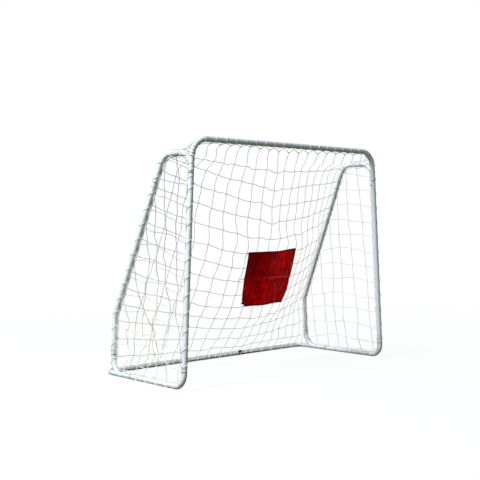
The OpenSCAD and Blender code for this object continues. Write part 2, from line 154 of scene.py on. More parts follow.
world = bpy.data.worlds.new("studio")
bpy.context.scene.world = world
world.use_nodes = True
add, link = open_tree(world.node_tree)
direction = add("ShaderNodeTexCoord")
towards_sun = add("ShaderNodeVectorMath", operation="DOT_PRODUCT")
link(direction.outputs["Generated"], towards_sun.inputs[0])
towards_sun.inputs[1].default_value = (-0.70, 0.05, 0.71)
facing_sun = between(add, link, towards_sun.outputs["Value"], 0.08, 0.78)
shade = blend_colours(add, link, facing_sun, (0.006, 0.009, 0.003, 1), (0.78, 0.86, 0.97, 1))
sky = add("ShaderNodeBackground")
link(shade, sky.inputs["Color"])
sky.inputs["Strength"].default_value = 1.0
white = add("ShaderNodeBackground")
white.inputs["Color"].default_value = (1, 1, 1, 1)
white.inputs["Strength"].default_value = 1.0
by_ray(add, link, "ShaderNodeOutputWorld", sky, white)


def soft_lamp(name, place, size, power, colour):
    """A square lamp that faces the middle of the goal."""
    data = bpy.data.lights.new(name, "AREA")
    data.shape = "SQUARE"
    data.size = size
    data.energy = power
    data.color = colour
    lamp = bpy.data.objects.new(name, data)
    lamp.location = place
    towards = Matrix.Translation((0, 0, 0.5)).translation - lamp.location
    lamp.rotation_euler = towards.to_track_quat("-Z", "Y").to_euler()
    bpy.context.scene.collection.objects.link(lamp)


soft_lamp("key", (-5.0, 0.1, 5.1), 1.6, 455, (0.93, 0.97, 1.0))
soft_lamp("fill", (-2.4, -4.6, 2.6), 3.0, 8, (0.95, 0.98, 1.0))

# ---- Painted steel tubes ----
# Every tube of the frame is 25 mm steel with a thin wall, bent cold and plugged together over swaged
# ends. The coat is white powder paint, which cures with a fine orange peel, gets rubbed where the
# tubes are plugged in and carries a little dirt near the floor.

TUBE_R = 0.0125
PAINT = (0.82, 0.85, 0.88, 1)
PAINT_SHADE = (0.78, 0.815, 0.84, 1)
RUBBED = (0.55, 0.57, 0.58, 1)
DIRT = (0.30, 0.28, 0.22, 1)
PAINTED = [name for name in node if name.startswith(
    ("crossbar", "post", "side_arch", "rear_leg", "base_rail", "heel_bend", "ground_bar"))]


def start_finish(name):
    """A new material, its two short hands, its principled shader and its Object coordinates."""
    finish = bpy.data.materials.new(name)
    finish.use_nodes = True
    add, link = open_tree(finish.node_tree)
    shader = add("ShaderNodeBsdfPrincipled")
    out = add("ShaderNodeOutputMaterial")
    link(shader.outputs[0], out.inputs["Surface"])
    place = add("ShaderNodeTexCoord")
    return finish, add, link, shader, place


def noise(add, link, vector, scale, detail=3.0):
    """The value of a noise texture that has this many cells to the metre."""
    made = add("ShaderNodeTexNoise")
    made.inputs["Scale"].default_value = scale
    made.inputs["Detail"].default_value = detail
    link(vector, made.inputs["Vector"])
    return made.outputs["Fac"]


def arithmetic(add, link, operation, first, second):
    """One operation on two terms, each of which is a number or a socket."""
    made = add("ShaderNodeMath", operation=operation)
    for socket, term in zip(made.inputs, (first, second)):
        if isinstance(term, (int, float)):
            socket.default_value = term
        else:
            link(term, socket)
    return made.outputs[0]


def raise_surface(add, link, shader, height, depth):
    """Bumps the shader's normal by the height, which runs from 0 to 1 over this depth in metres."""
    bump = add("ShaderNodeBump")
    bump.inputs["Strength"].default_value = 1.0
    bump.inputs["Distance"].default_value = depth
    link(height, bump.inputs["Height"])
    link(bump.outputs["Normal"], shader.inputs["Normal"])


def paint_finish():
    """Powder paint: colour = paint, then worn patches, then dirt that fades out with height."""
    finish, add, link, shader, place = start_finish("white_powder_paint")
    here = place.outputs["Object"]
    apart = add("ShaderNodeSeparateXYZ")
    link(here, apart.inputs[0])
    rubs = between(add, link, noise(add, link, here, 38, 6), 0.66, 0.72)
    dirt_line = between(add, link, apart.outputs["Z"], 0.02, 0.22, 0.5, 0.0)
    specks = between(add, link, noise(add, link, here, 60, 5), 0.42, 0.7)
    dirt = arithmetic(add, link, "MULTIPLY", dirt_line, specks)
    patchy = between(add, link, noise(add, link, here, 6, 3), 0.3, 0.7)
    base = blend_colours(add, link, patchy, PAINT, PAINT_SHADE)
    worn = blend_colours(add, link, arithmetic(add, link, "MULTIPLY", rubs, 0.5), base, RUBBED)
    link(blend_colours(add, link, dirt, worn, DIRT), shader.inputs["Base Color"])
    rough = arithmetic(add, link, "ADD", between(add, link, patchy, 0, 1, 0.30, 0.38),
                       arithmetic(add, link, "MULTIPLY", arithmetic(add, link, "ADD", rubs, dirt), 0.25))
    link(rough, shader.inputs["Roughness"])
    shader.inputs["Coat Weight"].default_value = 0.7
    shader.inputs["Coat Roughness"].default_value = 0.10
    raise_surface(add, link, shader, noise(add, link, here, 420, 2), 0.00022)
    return finish


def put_finish(thing, finish):
    """Gives an object this one material."""
    thing.data.materials.clear()
    thing.data.materials.append(finish)


white_paint = paint_finish()
for name in PAINTED:
    put_finish(node[name], white_paint)

# ---- Lacing ----
# One white cord winds round every tube of the frame and takes up the edge of the nets at each turn.
# It is drawn tight, so that it lies on the paint, and its turns crowd at the top of each post.

HALF_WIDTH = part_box("base_rail_right")[1].x - TUBE_R
POST_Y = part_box("post_right")[0].y + TUBE_R
BAR_Y = (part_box("ground_bar_centre")[0].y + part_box("ground_bar_centre")[1].y) / 2
CROSSBAR_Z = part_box("crossbar_right")[1].z - TUBE_R
SPLAY = radians(3.2)
LEG_DEPTH = 0.555
KNEE_HEIGHT = 0.276
REAR_SLOPE = radians(24.7)
CORNER_R, ARCH_R, FOOT_R, HEEL_R, ELBOW_R, KNEE_R = 0.085, 0.085, 0.060, 0.085, 0.050, 0.120
CROSSBAR_W = (CROSSBAR_Z - TUBE_R) / cos(SPLAY)
ARCH_W = CROSSBAR_W - 0.058
ARCH_END = LEG_DEPTH - (ARCH_W - KNEE_HEIGHT) * tan(REAR_SLOPE)
HEEL_W = 0.079
BEND_SET = 0.006  # a welded bend starts this far past the middle of the tube that it grows from
LACE_R = 0.0014


def side_point(u, w, inward=0.0, side=1):
    """Place in a side frame: u behind the post, w up along the leaning frame and inward from its plane."""
    u, w, inward = np.broadcast_arrays(*(np.asarray(term, float) for term in (u, w, inward)))
    return np.stack([side * (HALF_WIDTH - w * sin(SPLAY) - inward * cos(SPLAY)), POST_Y + u,
                     TUBE_R + w * cos(SPLAY) - inward * sin(SPLAY)], -1)


def run_along(path):
    """Distance of each point from the first, measured along the path."""
    return np.r_[0, np.cumsum(np.linalg.norm(np.diff(path, axis=0), axis=1))]


def even(path, step):
    """The same path with its points this far apart, measured along it."""
    path = np.asarray(path, float)
    run = run_along(path)
    at = np.linspace(0, run[-1], max(3, int(round(run[-1] / step)) + 1))
    return np.stack([np.interp(at, run, axis) for axis in path.T], -1)


def rounded(corners, radii):
    """A flat path through corners, each of which is rounded by the arc of its radius."""
    corners = np.asarray(corners, float)
    points = [corners[0]]
    for before, here, after, radius in zip(corners, corners[1:], corners[2:], radii):
        back = (before - here) / np.linalg.norm(before - here)
        ahead = (after - here) / np.linalg.norm(after - here)
        half = np.arccos(np.clip(back @ ahead, -1, 1)) / 2
        bisector = (back + ahead) / np.linalg.norm(back + ahead)
        centre = here + bisector * radius / sin(half)
        start = here + back * radius / tan(half) - centre
        end = here + ahead * radius / tan(half) - centre
        share = np.linspace(0, 1, 17)[:, None]
        turn = pi - 2 * half
        points += list(centre + (start * np.sin((1 - share) * turn) + end * np.sin(share * turn)) / sin(turn))
    points.append(corners[-1])
    return even(points, 0.004)


def ring_quads(rings, around, closed=False):
    """Quads between rings of points: point k of ring i joins point k + 1 and ring i + 1. Closed joins the
    last ring to the first."""
    i, k = np.arange(rings if closed else rings - 1)[:, None], np.arange(around)[None]
    i_next, k_next = (i + 1) % rings, (k + 1) % around
    return np.stack([i * around + k, i_next * around + k, i_next * around + k_next, i * around + k_next],
                    -1).reshape(-1, 4)


def sweep(path, normal, radius, sides=8):
    """Closed tube round a path: place = path + radius * (cos a * across + sin a * up). Its UV map has the
    share of the turn and the length along the path in metres."""
    path = np.asarray(path, float)
    count = len(path)
    ahead = np.gradient(path, axis=0)
    ahead /= np.linalg.norm(ahead, axis=1, keepdims=True)
    across = np.cross(ahead, np.broadcast_to(normal, path.shape))
    across /= np.linalg.norm(across, axis=1, keepdims=True)
    up = np.cross(across, ahead)
    angle = 2 * pi * np.arange(sides) / sides
    radius = np.broadcast_to(radius, count)[:, None, None]
    ring = np.cos(angle)[None, :, None] * across[:, None] + np.sin(angle)[None, :, None] * up[:, None]
    places = (path[:, None] + radius * ring).reshape(-1, 3)
    a = np.arange(sides)[None]
    run = run_along(path)
    low, high = run[:-1, None] + 0 * a, run[1:, None] + 0 * a
    left = a / sides + 0 * low
    right = left + 1 / sides
    uv = np.stack([np.stack([left, low], -1), np.stack([left, high], -1),
                   np.stack([right, high], -1), np.stack([right, low], -1)], 2).reshape(-1, 2)
    caps = [np.arange(sides), np.arange(sides)[::-1] + (count - 1) * sides]
    return places, [ring_quads(count, sides)] + [cap[None] for cap in caps], [uv, np.zeros((2 * sides, 2))]


def scatter(places, quads, frames, centres):
    """A small closed shape, set out once at each centre and turned by that centre's frame."""
    many = np.einsum("nij,pj->npi", frames, places) + centres[:, None]
    shift = np.arange(len(centres))[:, None, None] * len(places)
    return many.reshape(-1, 3), [(quads[None] + shift).reshape(-1, quads.shape[1])], [
        np.zeros((len(centres) * quads.size, 2))]


def make_piece(name, parts, finish, body="goal"):
    """One object from many closed parts, each of which is its places, its groups of faces and its UVs. It
    rides on the body, if there is one."""
    places, corners, sizes, uvs, count = [], [], [], [], 0
    for part_places, groups, part_uvs in parts:
        places.append(part_places)
        uvs += part_uvs
        for group in groups:
            corners.append(group.ravel() + count)
            sizes.append(np.full(len(group), group.shape[1]))
        count += len(part_places)
    corners, sizes = np.concatenate(corners), np.concatenate(sizes)
    mesh = bpy.data.meshes.new(name)
    mesh.vertices.add(count)
    mesh.vertices.foreach_set("co", np.concatenate(places).ravel())
    mesh.loops.add(len(corners))
    mesh.loops.foreach_set("vertex_index", corners.astype(np.int32))
    mesh.polygons.add(len(sizes))
    mesh.polygons.foreach_set("loop_start", (np.cumsum(sizes) - sizes).astype(np.int32))
    mesh.uv_layers.new(name="UVMap").data.foreach_set("uv", np.concatenate(uvs).ravel())
    mesh.update(calc_edges=True)
    mesh.polygons.foreach_set("use_smooth", np.ones(len(sizes), bool))
    piece = bpy.data.objects.new(name, mesh)
    bpy.context.scene.collection.objects.link(piece)
    put_finish(piece, finish)
    if body:
        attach(piece, body)
    return piece


SOILED_TWINE = (0.50, 0.49, 0.40, 1)
PALE_LOW_TWINE = (0.97, 0.96, 0.84, 1)


def twine_finish(name, light, groove_shade, lay):
    """Twisted white twine: its strands are a wave of 3 times round and once per lay along the twine, and the
    wave's troughs are painted shade between the strands.
    """
    finish, add, link, shader, place = start_finish(name)
    apart = add("ShaderNodeSeparateXYZ")
    link(place.outputs["UV"], apart.inputs[0])
    phase = arithmetic(add, link, "ADD", arithmetic(add, link, "MULTIPLY", apart.outputs["X"], 3.0),
                       arithmetic(add, link, "DIVIDE", apart.outputs["Y"], lay))
    wave = arithmetic(add, link, "SINE", arithmetic(add, link, "MULTIPLY", phase, 2 * pi), 0.0)
    strand = between(add, link, wave, -1.0, 0.6)
    here = place.outputs["Object"]
    soiled = between(add, link, noise(add, link, here, 9, 4), 0.45, 0.75, 0.0, 0.6)
    # Painted shade in the grooves between the strands, where the wave is low
    shade = blend_colours(add, link, strand, groove_shade, light)
    shade = blend_colours(add, link, soiled, shade, SOILED_TWINE)
    level = add("ShaderNodeSeparateXYZ")
    link(here, level.inputs[0])
    # The colour turns pale and yellowish towards the floor
    paler_low = between(add, link, level.outputs["Z"], 0.10, 0.75, 0.9, 0.0)
    link(blend_colours(add, link, paler_low, shade, PALE_LOW_TWINE), shader.inputs["Base Color"])
    shader.inputs["Roughness"].default_value = 0.62
    shader.inputs["Sheen Weight"].default_value = 0.2
    raise_surface(add, link, shader, strand, 0.0004)
    return finish


LACE = twine_finish("lacing_cord", (0.86, 0.88, 0.88, 1), (0.52, 0.53, 0.52, 1), 0.007)
NET_TWINE = twine_finish("net_twine", (0.90, 0.91, 0.89, 1), (0.56, 0.57, 0.54, 1), 0.006)
WORN_TWINE = twine_finish("worn_net_twine", (0.44, 0.45, 0.45, 1), (0.20, 0.21, 0.20, 1), 0.006)


def winding(path, plane, pitch, start=0.0, hand=1):
    """Cord wound round a tube: path + R * (cos t * m + sin t * n), with one turn of t for each pitch."""
    path = even(path, 0.004)
    ahead = np.gradient(path, axis=0)
    ahead /= np.linalg.norm(ahead, axis=1, keepdims=True)
    n = np.broadcast_to(plane, path.shape)
    m = np.cross(ahead, n)
    run = run_along(path)
    turn = (2 * pi * (run / pitch + start) * hand)[:, None]
    out = np.cos(turn) * m + np.sin(turn) * n
    cord = path + (TUBE_R + 0.8 * LACE_R) * out
    cord[:, 2] = np.maximum(cord[:, 2], LACE_R)
    return sweep(cord, out, LACE_R, 6)


LACE_PITCH = 0.078
arch_path = rounded([(-BEND_SET, ARCH_W - ARCH_R), (-BEND_SET, ARCH_W), (ARCH_END, ARCH_W),
                     (LEG_DEPTH, KNEE_HEIGHT), (LEG_DEPTH, -BEND_SET), (LEG_DEPTH - HEEL_R, -BEND_SET)],
                    [ARCH_R, ARCH_R, KNEE_R, HEEL_R])
arch_path = arch_path[arch_path[:, 0] > 0.022]
arch_path = arch_path[:np.flatnonzero(arch_path[:, 1] > 0.018)[-1]]
side_paths = [
    (np.array([(0, FOOT_R + 0.01), (0, CROSSBAR_W - 0.10)]), 0.1, LACE_PITCH),
    (np.array([(0, CROSSBAR_W - 0.20), (0, CROSSBAR_W - 0.085)]), 0.4, 0.030),
    (arch_path, 0.45, LACE_PITCH),
    (np.array([(LEG_DEPTH - HEEL_R, 0.0), (FOOT_R, 0.0)]), 0.8, LACE_PITCH)]
lacing = []
for side in (-1, 1):
    frame_normal = np.cross(side_point(1, 0, 0, side) - side_point(0, 0, 0, side),
                            side_point(0, 1, 0, side) - side_point(0, 0, 0, side))
    for path, start, pitch in side_paths:
        route = side_point(path[:, 0], path[:, 1], 0, side)
        lacing.append(winding(route, frame_normal, pitch, start, side))
corner_x = HALF_WIDTH - CROSSBAR_W * sin(SPLAY)
corner_cut = CORNER_R * tan((pi / 2 - SPLAY) / 2)
bar_half = corner_x - corner_cut
COLUMN_PITCH = 0.061
bar_path = rounded([(-corner_x - 0.10 * sin(SPLAY), CROSSBAR_Z - 0.10), (-corner_x, CROSSBAR_Z),
                    (corner_x, CROSSBAR_Z), (corner_x + 0.10 * sin(SPLAY), CROSSBAR_Z - 0.10)],
                   [CORNER_R, CORNER_R])
bar_path = np.stack([bar_path[:, 0], POST_Y + 0 * bar_path[:, 0], bar_path[:, 1]], -1)
lacing.append(winding(bar_path, (0, 1, 0), COLUMN_PITCH, 0.5))
bar_end = HALF_WIDTH - ELBOW_R
lacing.append(winding([(-bar_end, BAR_Y, TUBE_R), (bar_end, BAR_Y, TUBE_R)], (0, 1, 0), LACE_PITCH, 0.2))
make_piece("lacing", lacing, LACE)

# ---- Back net ----
# One piece of knotted white nylon twine, 18 meshes wide and 15 high, hung by its top edge from the
# crossbar and laced to the side frames and the ground bar. It is cut full, so it sags into the goal
# along its middle and hangs a little skew, and no two of its meshes have quite the same shape.

TWINE_R = 0.0013
NET_OFFSET = TUBE_R + 0.0027
HALF_COLUMNS = 9
ROWS = 15
EDGE_DROP = 0.008
GOAL_HEIGHT = CROSSBAR_Z + TUBE_R
arch_tangent = ARCH_R * tan((pi / 2 - REAR_SLOPE) / 2)
elbow_cut = ELBOW_R - (ELBOW_R - NET_OFFSET) * cos(pi / 4)


def edge_point(u, w, facing):
    """Place of the net's edge on the inner side of a tube, a little in front of or below its buttons."""
    return side_point(u - EDGE_DROP * cos(facing), w - EDGE_DROP * sin(facing), NET_OFFSET)


NET_EDGE = np.array([
    (bar_half, POST_Y, CROSSBAR_Z - NET_OFFSET),
    edge_point(ARCH_R - BEND_SET, ARCH_W, pi / 2),
    edge_point(ARCH_END - arch_tangent / 3, ARCH_W - arch_tangent / 5, pi / 2 - REAR_SLOPE),
    edge_point(ARCH_END + arch_tangent * sin(REAR_SLOPE), ARCH_W - arch_tangent * cos(REAR_SLOPE),
               REAR_SLOPE),
    edge_point(LEG_DEPTH, KNEE_HEIGHT, 0),
    edge_point(LEG_DEPTH, HEEL_W, 0),
    (HALF_WIDTH - elbow_cut, BAR_Y - elbow_cut, TUBE_R)])
NET_MIDDLE = np.array([
    (POST_Y, CROSSBAR_Z - NET_OFFSET), (POST_Y + 0.145, 0.573 * GOAL_HEIGHT),
    (POST_Y + 0.210, 0.25 * GOAL_HEIGHT), (BAR_Y - NET_OFFSET, TUBE_R)])


def ramp(x, low, high):
    """Smooth step: 3 q^2 - 2 q^3, where q runs from 0 at low to 1 at high."""
    q = np.clip((x - low) / (high - low), 0, 1)
    return q * q * (3 - 2 * q)


def net_place(s, j):
    """Smooth shape of the net. The middle is a Bezier curve of depth and height, the edge is the path
    along the tubes, and a point between them is middle + (edge - middle) * spread, where spread grows
    from the flat part behind the target outwards. s runs from -1 to 1 across and j counts meshes down."""
    s, j = np.broadcast_arrays(np.asarray(s, float), np.asarray(j, float))
    lead = np.minimum(1, j) * np.where(s < 0, 0.38, 1.85)
    run = run_along(NET_EDGE)
    at = (j + lead) / (ROWS + lead) * run[-1]
    edge = np.stack([np.interp(at, run, axis) for axis in NET_EDGE.T], -1)
    t = ((j + 0.26) / (ROWS + 0.26))[..., None]
    middle = (NET_MIDDLE[0] * (1 - t) ** 3 + NET_MIDDLE[1] * 3 * t * (1 - t) ** 2
              + NET_MIDDLE[2] * 3 * t ** 2 * (1 - t) + NET_MIDDLE[3] * t ** 3)
    v = j / ROWS
    drift = -0.136 + 0.132 * ramp(v, -0.1, 0.5) + 0.128 * ramp(v, 0.5, 1)
    width = edge[..., 0]
    x = width * (s + drift * (1 - s * s))
    flat = 0.160 * ramp(v, 0.29, 0.38) * (1 - ramp(v, 0.66, 0.84))
    u = np.maximum(0, (np.abs(x - width * drift) - flat) / (width - np.sign(s) * width * drift - flat))
    top = np.clip(j, 0, 1)
    spread = (1 - top) * u * (2 - u) + top * u * (1 - 0.49 * (1 - u))
    return np.stack([x, middle[..., 0] + (edge[..., 1] - middle[..., 0]) * spread,
                     middle[..., 1] + (edge[..., 2] - middle[..., 1]) * spread], -1)


def eased(values, at):
    """Values at whole numbers, joined by half waves: a + (b - a) * (1 - cos(pi * f)) / 2."""
    i = np.minimum(at.astype(int), len(values) - 2)
    f = ((1 - np.cos(pi * (at - i))) / 2)[:, None]
    return values[i] * (1 - f) + values[i + 1] * f


def between_knots(at, amounts):
    """Bulge of a twine between two knots: sin(pi f) times its own amount for each mesh."""
    i = np.minimum(at.astype(int), len(amounts) - 1)
    return np.sin(pi * (at - i))[:, None] * amounts[i]


def curl(at, amounts):
    """S-shaped curl of a twine between two knots: sin(2 pi f) times its own amount for each mesh."""
    i = np.minimum(at.astype(int), len(amounts) - 1)
    return np.sin(2 * pi * (at - i))[:, None] * amounts[i]


chance = np.random.default_rng(11)
columns = 2 * HALF_COLUMNS
knot_shift = chance.normal(0, 1, (ROWS + 1, columns + 1, 3)) * (0.0026, 0.0022, 0.0024)
knot_shift[:, [0, -1]] = 0
knot_shift[[0, -1]] = 0
knot_shift[5:11, HALF_COLUMNS - 3:HALF_COLUMNS + 4, 1] *= 0.25
knot_shift[1:7, HALF_COLUMNS - 1:HALF_COLUMNS + 2, 2] += (0.001, -0.007, -0.001)
whole = np.linspace(-1, 1, columns + 1)
# Along the crossbar the columns stand evenly from the middle one, and the last two on the left reach
# round the bend. The top edge is laced up between the columns, so each hangs from a low point of it.
bend = np.clip((-7 / 9 - whole) / (2 / 9), 0, 1) * radians(58)
top_row = np.stack([
    np.where(bend > 0, -bar_half - (CORNER_R - NET_OFFSET) * np.sin(bend),
             -0.082 + np.where(whole < 0, 0.549, 0.082 + bar_half) * whole),
    POST_Y + 0.012 * np.sin(bend),
    CROSSBAR_Z - CORNER_R + (CORNER_R - NET_OFFSET) * np.cos(bend)], -1)
sag = 0.004 + 0.014 * np.exp(-((whole - 0.16) / 0.38) ** 2) + chance.uniform(-0.001, 0.003, columns + 1)
top_row[:, 2] -= sag * (bend == 0) * (whole < 1)
knot_shift[0] = top_row - net_place(whole, 0)
FINE = 12
knot_places = net_place(np.linspace(-1, 1, columns + 1)[None].repeat(ROWS + 1, 0),
                        np.arange(ROWS + 1.0)[:, None].repeat(columns + 1, 1)) + knot_shift
twines = []
for j in range(ROWS + 1):
    at = np.linspace(0, columns, columns * FINE + 1)
    path = net_place(at / HALF_COLUMNS - 1, j) + eased(knot_shift[j], at)
    if j == 0:
        lift = np.where(np.abs(path[:, 0]) < bar_half, CROSSBAR_Z - TUBE_R - TWINE_R - path[:, 2], 0.0)
        pull = chance.uniform(0.75, 1, columns)[np.minimum(at.astype(int), columns - 1)]
        path[:, 2] += lift * np.sin(pi * (at % 1)) ** 2 * pull
    elif j < ROWS:
        path += between_knots(at, chance.normal(0, 1, (columns, 3)) * (0, 0.0014, 0.0012) + (0, 0, -0.0022))
        path += curl(at, chance.normal(0, 1, (columns, 3)) * (0, 0.0007, 0.0008))
    twines.append(sweep(path, (0, 0, 1), TWINE_R))
for i in range(columns + 1):
    at = np.linspace(0, ROWS, ROWS * FINE + 1)
    path = net_place(i / HALF_COLUMNS - 1, at) + eased(knot_shift[:, i], at)
    if 0 < i < columns:
        path += between_knots(at, chance.normal(0, 1, (ROWS, 3)) * (0.0016, 0.0014, 0))
        path += curl(at, chance.normal(0, 1, (ROWS, 3)) * (0.0009, 0.0006, 0))
    twines.append(sweep(path, (1, 0, 0), TWINE_R))


KNOT_R, WRAP_R = 0.0021, 0.0015


def knot_shape(around=10, sides=5):
    """Small ring that stands for the wrap of a knot: a circle of radius KNOT_R swept by one of WRAP_R."""
    a = (2 * pi * np.arange(around) / around)[:, None]
    b = (2 * pi * np.arange(sides) / sides)[None]
    reach = KNOT_R + WRAP_R * np.cos(b)
    places = np.stack([reach * np.cos(a), reach * np.sin(a), WRAP_R * np.sin(b) + 0 * a], -1).reshape(-1, 3)
    return places, ring_quads(around, sides, closed=True)


def tumbled(count):
    """Frames that are turned at random: the rotation of each comes from a random unit quaternion."""
    w, x, y, z = (chance.normal(0, 1, (4, count)) + np.array([[1.5], [0], [0], [0]]))
    size = np.sqrt(w * w + x * x + y * y + z * z)
    w, x, y, z = w / size, x / size, y / size, z / size
    return np.stack([np.stack([1 - 2 * (y * y + z * z), 2 * (x * y - w * z), 2 * (x * z + w * y)], -1),
                     np.stack([2 * (x * y + w * z), 1 - 2 * (x * x + z * z), 2 * (y * z - w * x)], -1),
                     np.stack([2 * (x * z - w * y), 2 * (y * z + w * x), 1 - 2 * (x * x + y * y)], -1)], -2)


KNOT = knot_shape()
centres = knot_places[:, 1:-1].reshape(-1, 3)
twines.append(scatter(*KNOT, tumbled(len(centres)), centres))
back_net = make_piece("back_net_twine", twines, NET_TWINE)
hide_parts("net_back")

# ---- Side nets ----
# A narrower piece of the same net fills each side frame. It is laced to all four tubes round it, its
# upright twines lean with the rear leg, and it hangs slack enough near the ground to wave about.

SIDE_MESH = 0.082
OPENING = TUBE_R + 0.0005
SWOLLEN = 1.25  # the left net is worn, and its twine has fluffed up this much


def half_chord(radius, off):
    """Half width of a bend's inner arc, this far off its centre: sqrt((radius - opening)^2 - off^2)."""
    return np.sqrt(np.maximum(0, (radius - OPENING) ** 2 - off ** 2))


def opening_limits(w):
    """Front and rear of a side frame's opening at height w, worked out from the tubes' arcs."""
    above_arch = np.maximum(0, w - (ARCH_W - ARCH_R))
    foot = FOOT_R - half_chord(FOOT_R, np.minimum(0, w - FOOT_R))
    arch = ARCH_R - BEND_SET - half_chord(ARCH_R, above_arch)
    heel = LEG_DEPTH - HEEL_R + half_chord(HEEL_R, np.minimum(0, w - HEEL_W))
    top = ARCH_END - arch_tangent + half_chord(ARCH_R, above_arch)
    slope = LEG_DEPTH - np.maximum(0, w - KNEE_HEIGHT) * tan(REAR_SLOPE) - OPENING / np.where(
        w > KNEE_HEIGHT, cos(REAR_SLOPE), 1)
    front = np.maximum(np.where(w < FOOT_R, foot, OPENING), np.where(w > ARCH_W - ARCH_R, arch, OPENING))
    rear = np.minimum(np.where(w < HEEL_W, heel, slope), np.where(w > ARCH_W - ARCH_R, top, slope))
    return front, rear


def clipped(u, w):
    """The part of a line in the side frame's plane that is in the opening, with evenly spread points."""
    front, rear = opening_limits(w)
    inside = np.flatnonzero((u > front) & (u < rear) & (w > OPENING) & (w < ARCH_W - OPENING))
    if len(inside) < 20:
        return None
    return even(np.stack([u, w], -1)[inside[0]:inside[-1] + 1], 0.006)


def slack_field(u, w, side):
    """Shared shift of a side net at each point, in and out of its plane: a sum of four slow waves that
    grow towards the ground and die out at the tubes."""
    front, rear = opening_limits(w)
    free = np.clip(np.minimum.reduce([u - front, rear - u, w - OPENING, ARCH_W - OPENING - w]) / 0.07, 0, 1)
    loose = (1.35 if side < 0 else 0.35) * (1.0 + 1.2 * ramp(-w, -0.55, -0.10))
    shift = np.zeros(u.shape + (3,))
    for k, (fu, fw, phase) in enumerate(((11, 5, 0.3), (23, 17, 1.9), (41, 29, 4.1), (63, 71, 2.2))):
        size = (0.0035, 0.0030, 0.0024, 0.0016)[k] * free * loose
        shift[..., 0] += size * np.sin(fu * u + fw * w + phase + side)
        shift[..., 1] += 0.8 * size * np.sin(fw * u - fu * w + 1.7 * phase)
        shift[..., 2] += 2.2 * size * np.sin(0.7 * fu * u - 0.6 * fw * w + 2.3 * phase + side)
    shift[..., 2] += 0.012 * free * ramp(-w, -0.6, -0.15)
    return shift


def slackened(u, w, side):
    """Places of points of a side net's plane once the slack has moved them."""
    shift = slack_field(u, w, side)
    inward = np.maximum(shift[..., 2], -0.006)
    return side_point(u + shift[..., 0], w + shift[..., 1], inward, side)


for side, label in ((-1, "left"), (1, "right")):
    plane = np.array([side * cos(SPLAY), 0, sin(SPLAY)])
    twine = TWINE_R * (SWOLLEN if side < 0 else 1.0)
    twines, crossings = [], []
    scan = np.linspace(0, CROSSBAR_W, 1500)
    uprights, levels = [], []
    for k in range(-1, 8):
        foot = 0.052 + SIDE_MESH * k + chance.uniform(-0.004, 0.004)
        uprights.append(lambda w, foot=foot: foot + 0.05 * w - 0.010 * np.sin(2.6 * w + foot * 20))
        line = clipped(uprights[-1](scan), scan)
        if line is not None:
            twines.append(sweep(slackened(line[:, 0], line[:, 1], side), plane, twine))
    scan = np.linspace(0, LEG_DEPTH, 900)
    for k in range(0, 14):
        height = 0.060 - (0.09 if side < 0 else 0) + SIDE_MESH * k + chance.uniform(-0.004, 0.004)
        levels.append(lambda u, height=height: height + (0.17 * u if side < 0 else 0)
                      + 0.024 * np.sin(pi * np.clip(u / 0.5, 0, 1)) + 0.004 * np.sin(18 * u + height * 30))
        line = clipped(scan, levels[-1](scan))
        if line is not None:
            twines.append(sweep(slackened(line[:, 0], line[:, 1], side), plane, twine))
    for upright in uprights:
        for level in levels:
            u = 0.25
            for _ in range(6):
                u = float(upright(level(u)))
            w = float(level(u))
            front, rear = opening_limits(np.array(w))
            if front + 0.01 < u < rear - 0.01 and 0.03 < w < ARCH_W - 0.03:
                crossings.append(slackened(np.array([u]), np.array([w]), side)[0])
    crossings = np.array(crossings)
    twines.append(scatter(*KNOT, tumbled(len(crossings)), crossings))
    # The edge twine runs round the opening and is pulled to the tube at each turn of the lacing
    w = np.linspace(OPENING + 0.001, ARCH_W - OPENING - 0.001, 400)
    front, rear = opening_limits(w)
    outline = np.concatenate([np.stack([front, w], -1)[::-1], np.stack([rear, w], -1)])
    outline = even(np.concatenate([outline, outline[:1]]), 0.005)
    run = run_along(outline)
    middle = outline.mean(axis=0)
    away = np.gradient(outline, axis=0)
    away = np.stack([away[:, 1], -away[:, 0]], -1) / np.linalg.norm(away, axis=1, keepdims=True)
    inwards = np.sign(np.sum(away * (middle - outline), axis=1))[:, None] * away
    pulled = (0.002 + 0.007 * np.abs(np.sin(pi * run / LACE_PITCH)))[:, None]
    edge = outline + inwards * pulled
    twines.append(sweep(side_point(edge[:, 0], edge[:, 1], 0.0, side), plane, twine))
    side_net = make_piece("side_net_twine_" + label, twines, WORN_TWINE if side < 0 else NET_TWINE)
    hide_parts("net_side_" + label)

# ---- Gathered net at the corners ----
# The top corners of the net are cut too full, so the spare twine is bunched over the arch and pulled up
# to the crossbar's bend, where the lacing holds it in loose strands.

